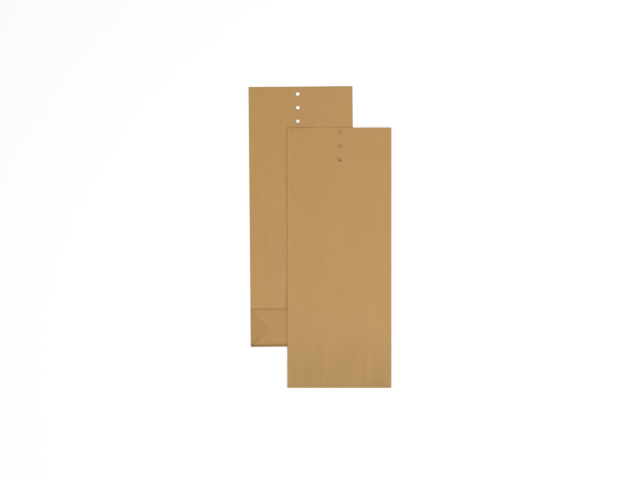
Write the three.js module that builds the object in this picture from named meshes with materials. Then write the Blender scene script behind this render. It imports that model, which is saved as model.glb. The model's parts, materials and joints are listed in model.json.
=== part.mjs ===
// Two kraft sample envelopes with side gussets, a folded block bottom and three clasp holes.
// Both lie flat. The first has its bottom flap up, the second lies on it turned face up.
// Millimetres, +X to the right, +Y towards the mouths, +Z up from the table.

import * as THREE from 'three';

// One envelope, empty and flat
const WIDTH = 120;
const LENGTH = 300;
const DEPTH = 43;
const PAPER = 0.15;

// Room left between layers of paper
const GLUE_LINE = 0.03;
const SLACK = 0.07;
const CREASE_GAP = 0.3;

// Clasp holes, in a row down from the mouth
const HOLE_DIAMETER = 4.1;
const HOLE_PITCH = 15.7;
const HOLE_COUNT = 3;
const UNDER_FIRST_HOLE = 8.5;
const UNDER_HOLE_SHIFT = -3.3;
const OVER_FIRST_HOLE = 5.4;
const OVER_HOLE_SHIFT = 0.7;
const ARC_STEPS = 12;

// Mouth that rolls down over two creases
const STRIP_MARGIN = 0.5;

// Glued block bottom, folded flat on the flap side
const TUCK_REACH = 32;
const TUCK_TAPER = 8;
const UPPER_FLAP_STOP = 5;
const LOWER_FLAP_HEIGHT = 13;

// Lengthwise seam, a lap glued inside the back panel
const LAP_WIDTH = 12;
const LAP_INSET = 0.5;

// How the pair lies
const STEP_RIGHT = 43.5;
const STEP_DOWN = 47.5;
const UNDER_TURN = THREE.MathUtils.degToRad(0.5);
const REST_GAP = 0.3;

// Paper finish
const KRAFT = 0xbd9663;
const KRAFT_ROUGHNESS = 0.85;

// Heights of the layers above the outer side of the front panel
const GLUED = PAPER + GLUE_LINE;
const PITCH = PAPER + GLUED + SLACK;
const FRONT_LEVEL = 0;
const GUSSET_FRONT_LEVEL = PITCH;
const GUSSET_BACK_LEVEL = 2 * PITCH;
const BACK_LEVEL = 3 * PITCH;
const LAP_LEVEL = BACK_LEVEL - GLUED;
const HEEL_LEVEL = 4 * PITCH;
const TUCK_LEVEL = 5 * PITCH;
const UPPER_FLAP_LEVEL = TUCK_LEVEL + GLUED;
const LOWER_FLAP_LEVEL = UPPER_FLAP_LEVEL + GLUED;
const BODY_THICKNESS = BACK_LEVEL + PAPER;
const FLAP_THICKNESS = LOWER_FLAP_LEVEL + PAPER;

// Lines that the panels share, measured from the middle of the envelope
const EDGE = WIDTH / 2;
const MOUTH = LENGTH / 2;
const END = -LENGTH / 2;
const HEEL_CREASE = END + DEPTH / 2;
const FLAP_CREASE = END + DEPTH;
const GUSSET_CREASE = EDGE - DEPTH / 2;
const HALF_GAP = CREASE_GAP / 2;

// A flat sheet of paper between given corners, with round holes
function sheet(name, corners, level, holes = []) {
  const outline = new THREE.Shape(corners.map(([x, y]) => new THREE.Vector2(x, y)));
  for (const [x, y] of holes) {
    const rim = new THREE.Path();
    rim.absarc(x, y, HOLE_DIAMETER / 2, 0, 2 * Math.PI, true);
    outline.holes.push(rim);
  }
  const settings = { depth: PAPER, bevelEnabled: false, curveSegments: ARC_STEPS };
  const geometry = new THREE.ExtrudeGeometry(outline, settings);
  geometry.translate(0, 0, level);
  const paper = new THREE.MeshStandardMaterial({
    color: KRAFT,
    roughness: KRAFT_ROUGHNESS,
    metalness: 0,
  });
  const mesh = new THREE.Mesh(geometry, paper);
  mesh.name = name;
  return mesh;
}

function rectangle(left, right, low, high) {
  return [[left, low], [right, low], [right, high], [left, high]];
}

// Corners given for the left side of the envelope, put on the side that is asked for
function onSide(side, corners) {
  return side < 0 ? corners : corners.map(([x, y]) => [-x, y]).reverse();
}

function holeCentres(envelope) {
  return Array.from({ length: HOLE_COUNT }, (_, i) => [
    envelope.holeShift,
    MOUTH - envelope.firstHole - i * HOLE_PITCH,
  ]);
}

// The six layers of the tube and its seam lap, from one crease line to the next
function tube(envelope, stretch) {
  const prefix = envelope.name + stretch.name;
  const { low, high } = stretch;
  const backLow = Math.max(low, HEEL_CREASE + HALF_GAP);
  const holes = holeCentres(envelope).filter(([, y]) => y > low && y < high);
  const pieces = [
    sheet(`${prefix}_front_panel`, rectangle(-EDGE, EDGE, low, high), FRONT_LEVEL, holes),
    sheet(`${prefix}_back_panel`, rectangle(-EDGE, EDGE, backLow, high), BACK_LEVEL, holes),
  ];
  for (const side of [-1, 1]) {
    const gusset = `${prefix}_${envelope.sideName(side)}_gusset`;
    const half = onSide(side, rectangle(-EDGE, -GUSSET_CREASE - HALF_GAP, low, high));
    pieces.push(sheet(`${gusset}_front_half`, half, GUSSET_FRONT_LEVEL));
    pieces.push(sheet(`${gusset}_back_half`, half, GUSSET_BACK_LEVEL));
  }
  const lapEdge = EDGE - LAP_INSET;
  const lap = rectangle(lapEdge - LAP_WIDTH, lapEdge, backLow, high);
  pieces.push(sheet(`${prefix}_seam_lap`, lap, LAP_LEVEL));
  return pieces;
}

// The heel of the back panel, folded up on it, and the block bottom glued from its flaps
function bottom(envelope) {
  const heel = rectangle(-EDGE, EDGE, HEEL_CREASE + HALF_GAP, FLAP_CREASE);
  const tuck = [
    [-EDGE, END],
    [-EDGE + TUCK_REACH, END + TUCK_TAPER],
    [-EDGE + TUCK_REACH, FLAP_CREASE - TUCK_TAPER],
    [-EDGE, FLAP_CREASE],
  ];
  const upperSlant = DEPTH - UPPER_FLAP_STOP;
  const upperFlap = [
    [-EDGE + upperSlant, END + UPPER_FLAP_STOP],
    [EDGE - upperSlant, END + UPPER_FLAP_STOP],
    [EDGE, FLAP_CREASE],
    [-EDGE, FLAP_CREASE],
  ];
  const lowerFlap = [
    [-EDGE, END],
    [EDGE, END],
    [EDGE - LOWER_FLAP_HEIGHT, END + LOWER_FLAP_HEIGHT],
    [-EDGE + LOWER_FLAP_HEIGHT, END + LOWER_FLAP_HEIGHT],
  ];
  const pieces = [
    sheet(`${envelope.name}_heel_panel`, heel, HEEL_LEVEL),
    sheet(`${envelope.name}_bottom_upper_flap`, upperFlap, UPPER_FLAP_LEVEL),
    sheet(`${envelope.name}_bottom_lower_flap`, lowerFlap, LOWER_FLAP_LEVEL),
  ];
  for (const side of [-1, 1]) {
    const name = `${envelope.name}_bottom_${envelope.sideName(side)}_tuck`;
    pieces.push(sheet(name, onSide(side, tuck), TUCK_LEVEL));
  }
  return pieces;
}

// The mouth creases lie so that the upper strip folds down inside the lower one
function mouthStretches(envelope) {
  const lowerCrease = envelope.firstHole + 1.5 * HOLE_PITCH;
  const upperCrease = (lowerCrease - STRIP_MARGIN) / 2;
  return [
    { name: '', low: END, high: MOUTH - lowerCrease - HALF_GAP },
    {
      name: '_mouth_lower_strip',
      low: MOUTH - lowerCrease + HALF_GAP,
      high: MOUTH - upperCrease - HALF_GAP,
    },
    { name: '_mouth_upper_strip', low: MOUTH - upperCrease + HALF_GAP, high: MOUTH },
  ];
}

// Envelope with its flap side up, whose mouth can be rolled down
const under = {
  name: 'under',
  firstHole: UNDER_FIRST_HOLE,
  holeShift: UNDER_HOLE_SHIFT,
  sideName: (side) => (side < 0 ? 'left' : 'right'),
};

// Envelope turned over, so its own left is on the right
const over = {
  name: 'over',
  firstHole: OVER_FIRST_HOLE,
  holeShift: -OVER_HOLE_SHIFT,
  sideName: (side) => (side < 0 ? 'right' : 'left'),
};

const underGroup = new THREE.Group();
for (const stretch of mouthStretches(under)) {
  underGroup.add(...tube(under, stretch));
}
underGroup.add(...bottom(under));

const overGroup = new THREE.Group();
overGroup.add(...tube(over, { name: '', low: END, high: MOUTH }));
overGroup.add(...bottom(over));

// The middle of the pair's outline is the origin, and the lowest panel lies on the table
const turnedHalfWidth = EDGE * Math.cos(UNDER_TURN) + MOUTH * Math.sin(UNDER_TURN);
const turnedHalfLength = MOUTH * Math.cos(UNDER_TURN) + EDGE * Math.sin(UNDER_TURN);
const underX = (turnedHalfWidth - STEP_RIGHT - EDGE) / 2;
const underY = (STEP_DOWN + MOUTH - turnedHalfLength) / 2;
underGroup.rotation.z = UNDER_TURN;
underGroup.position.set(underX, underY, 0);

overGroup.rotation.y = Math.PI;
overGroup.position.set(
  underX + STEP_RIGHT,
  underY - STEP_DOWN,
  FLAP_THICKNESS + REST_GAP + BODY_THICKNESS,
);

const pair = new THREE.Group();
pair.add(underGroup, overGroup);

export default pair;
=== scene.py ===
"""Two kraft sample envelopes, one on the other, made of folded paper round a fixed frame.

Lengths are in metres. Each envelope has its own flat coordinates: across, to the right, and
along, from its lower end to its mouth. Paper grain is drawn in the coordinates of the flat blank,
so it runs on through every fold.
"""
import json
import logging
import math
from collections.abc import Callable, Sequence
from dataclasses import dataclass, field
from enum import Enum, Flag, auto
from functools import partial

import bmesh
import bpy
import numpy as np
from mathutils import Matrix, Vector

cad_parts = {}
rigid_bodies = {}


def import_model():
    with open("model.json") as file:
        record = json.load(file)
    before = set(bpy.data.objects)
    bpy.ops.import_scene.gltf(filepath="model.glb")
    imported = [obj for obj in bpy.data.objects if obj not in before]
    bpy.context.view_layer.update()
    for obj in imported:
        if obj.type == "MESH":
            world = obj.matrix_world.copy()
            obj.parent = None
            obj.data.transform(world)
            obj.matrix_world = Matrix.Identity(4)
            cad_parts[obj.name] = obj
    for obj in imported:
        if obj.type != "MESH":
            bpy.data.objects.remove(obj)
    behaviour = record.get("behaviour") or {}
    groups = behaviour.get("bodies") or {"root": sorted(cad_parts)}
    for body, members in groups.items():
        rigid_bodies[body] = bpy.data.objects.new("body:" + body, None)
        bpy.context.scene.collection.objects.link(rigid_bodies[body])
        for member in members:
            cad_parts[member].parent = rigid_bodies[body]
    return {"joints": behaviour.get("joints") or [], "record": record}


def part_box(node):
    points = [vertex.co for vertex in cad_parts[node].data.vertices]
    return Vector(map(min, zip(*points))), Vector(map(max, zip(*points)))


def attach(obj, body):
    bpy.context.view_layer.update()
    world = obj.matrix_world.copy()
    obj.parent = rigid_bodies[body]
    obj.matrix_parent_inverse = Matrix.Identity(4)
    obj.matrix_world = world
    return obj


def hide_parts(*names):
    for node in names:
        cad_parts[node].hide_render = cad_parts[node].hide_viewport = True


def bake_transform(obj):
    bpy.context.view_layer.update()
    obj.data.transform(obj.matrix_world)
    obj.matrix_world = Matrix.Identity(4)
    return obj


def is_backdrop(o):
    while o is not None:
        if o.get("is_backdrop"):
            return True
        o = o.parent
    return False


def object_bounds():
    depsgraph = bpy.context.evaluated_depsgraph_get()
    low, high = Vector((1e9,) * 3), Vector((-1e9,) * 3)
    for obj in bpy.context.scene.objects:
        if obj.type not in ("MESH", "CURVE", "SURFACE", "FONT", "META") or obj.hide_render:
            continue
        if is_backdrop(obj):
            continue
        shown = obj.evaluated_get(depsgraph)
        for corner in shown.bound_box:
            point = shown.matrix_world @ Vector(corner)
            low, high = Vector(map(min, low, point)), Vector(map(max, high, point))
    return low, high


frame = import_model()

LOG = logging.getLogger("envelopes")
MM = 0.001
BLANK = "blank"
LAY = "lay"
SLACK = "slack"
RISE = "rise"
SAME_POINT = 1e-7
SHARP_FOLD = math.radians(35)


class Layer(Enum):
    """A layer of folded paper, by the end of its node's name."""

    FRONT = "front_panel"
    GUSSET_FRONT = "gusset_front_half"
    GUSSET_BACK = "gusset_back_half"
    LAP = "seam_lap"
    BACK = "back_panel"
    HEEL = "heel_panel"
    TUCK = "tuck"
    UPPER_FLAP = "bottom_upper_flap"
    LOWER_FLAP = "bottom_lower_flap"

    @property
    def sided(self) -> bool:
        """Whether each side of an envelope has its own."""
        return self in (Layer.GUSSET_FRONT, Layer.GUSSET_BACK, Layer.TUCK)

    @property
    def punched(self) -> bool:
        """Whether the clasp holes go through it."""
        return self in (Layer.FRONT, Layer.BACK)

    @property
    def pasted(self) -> bool:
        """Whether it is pasted into the bottom."""
        return self in (Layer.TUCK, Layer.UPPER_FLAP, Layer.LOWER_FLAP)


class Side(Enum):
    """A side of an envelope as it lies, with its sign across."""

    LEFT = -1
    RIGHT = 1

    @property
    def word(self) -> str:
        """The side's word in a node's name."""
        return self.name.lower()


class Held(Flag):
    """The edges at which a sheet is folded, so that it lies flat there."""

    NONE = 0
    LEFT = auto()
    RIGHT = auto()
    LOW = auto()
    HIGH = auto()
    SIDES = LEFT | RIGHT


class Run(Enum):
    """The way that a fold runs on its envelope."""

    ALONG = "along"
    ACROSS = "across"


class Part(Enum):
    """The part of a fold's section that a piece has."""

    WHOLE = "whole"
    FIRST = "first"
    SECOND = "second"


class Grain(Enum):
    """Cloudy patterns, by the size of their patches across and along, their detail and a seed."""

    CLOUDS = (24 * MM, 42 * MM, 2.0, 1.0)
    STREAKS = (2.2 * MM, 70 * MM, 3.0, 2.0)
    LINES = (0.5 * MM, 14 * MM, 2.0, 3.0)
    FELT = (0.35 * MM, 1.1 * MM, 3.0, 4.0)
    CROSS_FIBRES = (1.3 * MM, 0.3 * MM, 2.0, 5.0)
    SPECKS = (0.5 * MM, 1.6 * MM, 1.0, 6.0)
    PASTE = (9 * MM, 6 * MM, 2.0, 7.0)
    BANDS = (6.5 * MM, 120 * MM, 2.0, 8.0)
    RIDGE_BREAKS = (26 * MM, 60 * MM, 1.0, 11.0)
    PUCKERS = (7 * MM, 22 * MM, 2.0, 13.0)
    HAIRS_RIGHT = (0.22 * MM, 3.2 * MM, 0.0, 15.0)
    HAIRS_LEFT = (0.22 * MM, 3.2 * MM, 0.0, 16.0)
    PALE_HAIRS_RIGHT = (0.22 * MM, 3.2 * MM, 0.0, 17.0)
    PALE_HAIRS_LEFT = (0.22 * MM, 3.2 * MM, 0.0, 18.0)
    CREASE_BREAKS = (17 * MM, 40 * MM, 2.0, 21.0)
    # Streaks for the painted shade towards the foot.
    HANDLING = (5.5 * MM, 34 * MM, 2.0, 23.0)
    PASTE_BAND = (5 * MM, 5 * MM, 2.0, 25.0)


class Socket:
    """A node's output that takes part in arithmetic, one Math node for each operation."""

    def __init__(self, nodes: "Nodes", output: bpy.types.NodeSocket | None) -> None:
        """Wraps an output of a tree."""
        self.nodes = nodes
        self.output = output

    def _math(self, operation: str, *values: "Socket | float") -> "Socket":
        """The result of a Math node on the values."""
        return self.nodes.add("ShaderNodeMath", {"operation": operation}, dict(enumerate(values)))

    def __add__(self, other: "Socket | float") -> "Socket":
        """self + other."""
        return self._math("ADD", self, other)

    __radd__ = __add__

    def __mul__(self, other: "Socket | float") -> "Socket":
        """self * other."""
        return self._math("MULTIPLY", self, other)

    __rmul__ = __mul__

    def __sub__(self, other: "Socket | float") -> "Socket":
        """self - other."""
        return self._math("SUBTRACT", self, other)

    def __rsub__(self, other: float) -> "Socket":
        """other - self."""
        return self._math("SUBTRACT", other, self)

    def __truediv__(self, other: "Socket | float") -> "Socket":
        """self / other."""
        return self._math("DIVIDE", self, other)

    def __rtruediv__(self, other: float) -> "Socket":
        """other / self."""
        return self._math("DIVIDE", other, self)

    def size(self) -> "Socket":
        """The value without its sign."""
        return self._math("ABSOLUTE", self)

    def power(self, other: "Socket | float") -> "Socket":
        """This value to the power of another."""
        return self._math("POWER", self, other)

    def root(self) -> "Socket":
        """The square root."""
        return self._math("SQRT", self)

    def bell(self, centre: "Socket | float", width: "Socket | float") -> "Socket":
        """A smooth bump of height 1 at the centre, fallen to a third at the width from it."""
        off = (self - centre) / width
        return self._math("EXPONENT", off * off * -1.0)

    def between(self, low: float, high: float) -> "Socket":
        """A smooth step from 0 at low to 1 at high."""
        sockets = {"Value": self, "From Min": low, "From Max": high}
        return self.nodes.add("ShaderNodeMapRange", {"interpolation_type": "SMOOTHSTEP"}, sockets)


class Nodes:
    """A node tree that is built by calls."""

    def __init__(self, tree: bpy.types.NodeTree) -> None:
        """Wraps a shader or geometry tree."""
        self.tree = tree

    def add(self, kind: str, settings: dict | None = None, sockets: dict | None = None,
            output: int | str = 0) -> Socket:
        """Adds a node.

        Args:
            kind: the node's type.
            settings: properties, set before its sockets are filled.
            sockets: values or links for its inputs, by name or number.
            output: which of its outputs is wanted.

        Returns:
            That output.
        """
        node = self.tree.nodes.new(kind)
        for name, value in (settings or {}).items():
            setattr(node, name, value)
        for name, value in (sockets or {}).items():
            if isinstance(value, Socket):
                self.tree.links.new(value.output, node.inputs[name])
            else:
                node.inputs[name].default_value = value
        return Socket(self, node.outputs[output]) if node.outputs else Socket(self, None)

    def map(self, name: str) -> Socket:
        """The places of one of a mesh's own maps, in a shader."""
        return self.add("ShaderNodeUVMap", {"uv_map": name})

    def held(self, name: str, kind: str) -> Socket:
        """The values that a mesh holds under a name, in a geometry tree."""
        return self.add("GeometryNodeInputNamedAttribute", {"data_type": kind}, {"Name": name})

    def vector(self, x: Socket | float, y: Socket | float, z: Socket | float) -> Socket:
        """A vector of three values."""
        return self.add("ShaderNodeCombineXYZ", {}, {"X": x, "Y": y, "Z": z})

    def axis(self, vector: Socket, name: str) -> Socket:
        """One axis of a vector."""
        return self.add("ShaderNodeSeparateXYZ", {}, {0: vector}, name)

    def product(self, vector: Socket, factors: Sequence[float]) -> Socket:
        """A vector with each axis multiplied."""
        return self.add("ShaderNodeVectorMath", {"operation": "MULTIPLY"}, {0: vector, 1: factors})

    def cloud(self, place: Socket, fineness: Sequence[float], scale: Socket | float,
              detail: float, seed: Socket | float) -> Socket:
        """A cloudy pattern with values near 0.5.

        Args:
            place: the coordinates that it lies in, in metres.
            fineness: how much finer it is along each of them.
            scale: how fine it is on the whole.
            detail: how many finer patterns are added.
            seed: picks one pattern.

        Returns:
            The pattern's value.
        """
        sockets = {"Vector": self.product(place, fineness), "W": seed, "Scale": scale,
                   "Detail": detail}
        return self.add("ShaderNodeTexNoise", {"noise_dimensions": "4D"}, sockets)

    def noise(self, place: Socket, grain: Grain) -> Socket:
        """One of the known patterns, at places in metres."""
        across, along, detail, seed = grain.value
        return self.cloud(place, (1 / across, 1 / along, 1.0), 1.0, detail, seed)


@dataclass(frozen=True)
class Cut:
    """The sizes that both envelopes are folded to."""

    length: float = 300 * MM
    edge: float = 60 * MM
    depth: float = 43 * MM
    flap_height: float = 13 * MM
    flap_stop: float = 5 * MM
    tuck_reach: float = 32 * MM
    tuck_taper: float = 8 * MM


@dataclass(frozen=True)
class ClaspRow:
    """The round clasp holes down from one envelope's mouth, which rolls down between them."""

    shift: float
    first: float
    pitch: float = 15.7 * MM
    diameter: float = 4.1 * MM
    count: int = 3
    strip_margin: float = 0.5 * MM

    def centre(self, number: int, length: float) -> float:
        """The place of a hole along an envelope of some length."""
        return length - self.first - number * self.pitch

    def creases(self, length: float) -> tuple[float, float]:
        """The places of the upper and the lower crease that the mouth is rolled down over."""
        lower = self.first + 1.5 * self.pitch
        return length - (lower - self.strip_margin) / 2, length - lower


class Marks:
    """Marks on the paper that no fibre makes, painted shade and light among them. Paper as it comes
    from the roll has none.
    """

    def shade(self, nodes: Nodes, across: Socket, along: Socket) -> Socket | float:
        """The share of light that places across and along the envelope lose."""
        return 0.0

    def tint(self, across: Socket, along: Socket) -> tuple[Socket | float, Socket | float]:
        """The shares of red and of blue light that such places gain."""
        return 0.0, 0.0


@dataclass(frozen=True)
class MouthMarks(Marks):
    """Crease lines where the mouth was rolled down, part crease mark and part painted shade;
    painted shade round the holes, along the cut edges and above the heel's fold; a painted
    highlight along the left fold; and a hue that changes over the paper.
    """

    row: ClaspRow
    cut: Cut
    # Crease lines where the mouth was rolled down, part crease mark and part painted shade.
    crease_shades: tuple[float, float] = (0.035, 0.0245)
    crease_widths: tuple[float, float] = (0.8 * MM, 1.0 * MM)
    crease_breaks: tuple[float, float] = (0.38, 0.62)
    # Painted shade round each clasp hole, stronger where a hole looks deeper, leaning to the lower
    # left where its shadow falls.
    rim_shades: tuple[float, ...] = (0.16, 0.16, 0.16)
    rim_leans: tuple[float, ...] = (0.0, 0.0, 0.0)
    rim_inset: float = 0.3 * MM
    rim_width: float = 0.7 * MM
    # Painted shade along the mouth's cut edge and the lower end; plain_edge leaves it off between
    # two places across.
    edge_shade: float = 0.10
    edge_width: float = 1.1 * MM
    plain_edge: tuple[float, float] | None = None
    plain_blur: float = 4 * MM
    # A painted highlight along the left side fold.
    fold_light: float = 0.0
    fold_width: float = 0.9 * MM
    # A painted shadow on the back panel just above the bottom's upper fold.
    heel_shade: float = 0.0
    heel_line: float = 43.9 * MM
    heel_width: float = 0.6 * MM
    # The hue turns greyer towards the lower end and less blue up the left side.
    fading: float = 0.0
    fading_ends: tuple[float, float] = (50 * MM, 125 * MM)
    red_share: float = -0.5
    warmth: float = 0.045
    warm_side: tuple[float, float] = (-30 * MM, 10 * MM)
    warm_ends: tuple[float, float] = (90 * MM, 200 * MM)

    def tint(self, across: Socket, along: Socket) -> tuple[Socket, Socket]:
        """How the brown's hue changes over the paper.

        Args:
            across: places across the envelope.
            along: places along it from its lower end.

        Returns:
            The shares of red and of blue light that a place gains.
        """
        foot = (1.0 - along.between(*self.fading_ends)) * self.fading
        left = (1.0 - across.between(*self.warm_side)) * along.between(*self.warm_ends)
        return foot * self.red_share, foot - left * self.warmth

    def shade(self, nodes: Nodes, across: Socket, along: Socket) -> Socket:
        """The share of light that a place loses.

        Args:
            nodes: the finish's tree.
            across: places across the envelope.
            along: places along it from its lower end.

        Returns:
            The share.
        """
        broken = nodes.noise(nodes.map(LAY), Grain.CREASE_BREAKS).between(*self.crease_breaks)
        creases = self.row.creases(self.cut.length)
        # A painted shadow above the heel's fold.
        total = along.bell(self.heel_line, self.heel_width) * self.heel_shade
        # Crease lines, part crease mark and part painted shade.
        for crease, width, shade in zip(creases, self.crease_widths, self.crease_shades):
            total = total + along.bell(crease, width) * broken * shade
        # Painted shade round the clasp holes, leaning to the lower left.
        radius = self.row.diameter / 2
        for number, (shade, lean) in enumerate(zip(self.rim_shades, self.rim_leans)):
            dx = across - self.row.shift
            dy = along - self.row.centre(number, self.cut.length)
            rim = (dx * dx + dy * dy).root().bell(radius - self.rim_inset, self.rim_width)
            total = total + rim * (1.0 - (dx + dy) * (lean / radius / math.sqrt(2))) * shade
        # Painted shade along the mouth's cut edge, left off over plain_edge, and along the lower
        # end.
        mouth_edge = along.bell(self.cut.length, self.edge_width)
        if self.plain_edge:
            starts, ends = (across.between(place - self.plain_blur, place + self.plain_blur)
                            for place in self.plain_edge)
            mouth_edge = mouth_edge * (1.0 - starts * (1.0 - ends))
        total = total + (mouth_edge + along.bell(0.0, self.edge_width)) * self.edge_shade
        # A painted highlight along the left side fold.
        fold = across.bell(self.fold_width - self.cut.edge, self.fold_width)
        return total - fold * self.fold_light


@dataclass(frozen=True)
class HandledMarks(MouthMarks):
    """The same on the smooth side, with painted shade in streaks towards the foot and down the left
    side, and painted shade and light at a crease by the lower right corner.
    """

    # Painted shade in streaks towards the foot.
    foot_shade: float = 0.125
    foot_ends: tuple[float, float] = (8.5 * MM, 85 * MM)
    streak_range: tuple[float, float] = (0.30, 0.70)
    streak_share: float = 0.4
    even_share: float = 0.5
    # Painted shade down the left side of the upper face.
    left_shade: float = 0.014
    left_side: tuple[float, float] = (-30 * MM, 0.0)
    left_ends: tuple[float, float] = (90 * MM, 150 * MM)
    # Painted shade below and painted light above a crease line at the lower right corner.
    corner_shade: float = 0.055
    corner_light: float = 0.25
    corner_line: tuple[float, float] = (-1 * MM, 2 * MM)
    corner_side: tuple[float, float] = (16 * MM, 36 * MM)
    corner_ends: tuple[float, float] = (5 * MM, 19 * MM)

    def shade(self, nodes: Nodes, across: Socket, along: Socket) -> Socket:
        """The share of light that a place loses.

        Args:
            nodes: the finish's tree.
            across: places across the envelope.
            along: places along it from its lower end.

        Returns:
            The share.
        """
        streaks = nodes.noise(nodes.map(LAY), Grain.HANDLING).between(*self.streak_range)
        foot = 1.0 - along.between(*self.foot_ends)
        left = (1.0 - across.between(*self.left_side)) * along.between(*self.left_ends)
        inward = self.cut.edge - across
        fold = (inward - along).between(*self.corner_line)
        fold = fold * (1.0 + self.corner_light) - self.corner_light
        corner = ((1.0 - inward.between(*self.corner_side))
                  * (1.0 - along.between(*self.corner_ends)))
        # Painted shade towards the foot and down the left side, and painted shade and light at the
        # corner crease.
        return (super().shade(nodes, across, along)
                + foot * (streaks * self.streak_share + self.even_share) * self.foot_shade
                + left * self.left_shade
                + fold * corner * self.corner_shade)


@dataclass(frozen=True)
class PasteMarks(Marks):
    """Paste stains along the slanted edges of the bottom's flaps, mixed with painted shade of those
    edges; painted shade in the tucks, at the flap's crease and along the lower end; and the flaps a
    little darker all over and at their corners.
    """

    cut: Cut
    # A painted shaded line along the lower end.
    end_shade: float
    end_line: float = 1.6 * MM
    end_width: float = 1.9 * MM
    # A painted shadow line along the flap's crease.
    top_shade: float = 0.06
    top_width: float = 1.1 * MM
    # Bands along the flaps' slanted edges, part paste stain and part painted shade of the edges.
    band_shade: float = 0.055
    band_inset: float = -1.2 * MM
    band_width: float = 2.0 * MM
    band_start: float = 5 * MM
    patch_range: tuple[float, float] = (0.30, 0.62)
    patch_share: float = 0.6
    # Painted shade in the tucks.
    tuck_shade: float = 0.05
    tuck_line: tuple[float, float] = (-0.5 * MM, 1.5 * MM)
    overall_shade: float = 0.05
    corner_shade: float = 0.07
    corner_side: float = 9 * MM
    corner_end: float = 7 * MM

    def shade(self, nodes: Nodes, across: Socket, along: Socket) -> Socket:
        """The share of light that a place loses.

        Args:
            nodes: the finish's tree.
            across: places across the envelope.
            along: places along it from its lower end.

        Returns:
            The share.
        """
        patchy = nodes.noise(nodes.map(LAY), Grain.PASTE_BAND).between(*self.patch_range)
        inward = self.cut.edge - across.size()
        low = inward - along
        high = inward - (self.cut.depth - along)
        tall = self.cut.flap_height
        short = 1.0 - along.between(tall, tall + self.band_start)
        long = along.between(tall, self.cut.depth / 2)
        band = (low.bell(self.band_inset, self.band_width) * short
                + high.bell(self.band_inset, self.band_width) * long)
        tuck = (0.0 - low).between(*self.tuck_line) * (0.0 - high).between(*self.tuck_line)
        corner = inward.bell(0.0, self.corner_side) * along.bell(0.0, self.corner_end)
        # Paste and painted edge shade in bands, painted shade in the tucks, at the crease and along
        # the lower end, and darker all over and at the corners.
        return (band * (patchy * self.patch_share + (1 - self.patch_share)) * self.band_shade
                + tuck * self.tuck_shade
                + self.overall_shade
                + corner * self.corner_shade
                + along.bell(self.cut.depth, self.top_width) * self.top_shade
                + along.bell(self.end_line, self.end_width) * self.end_shade)


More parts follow.
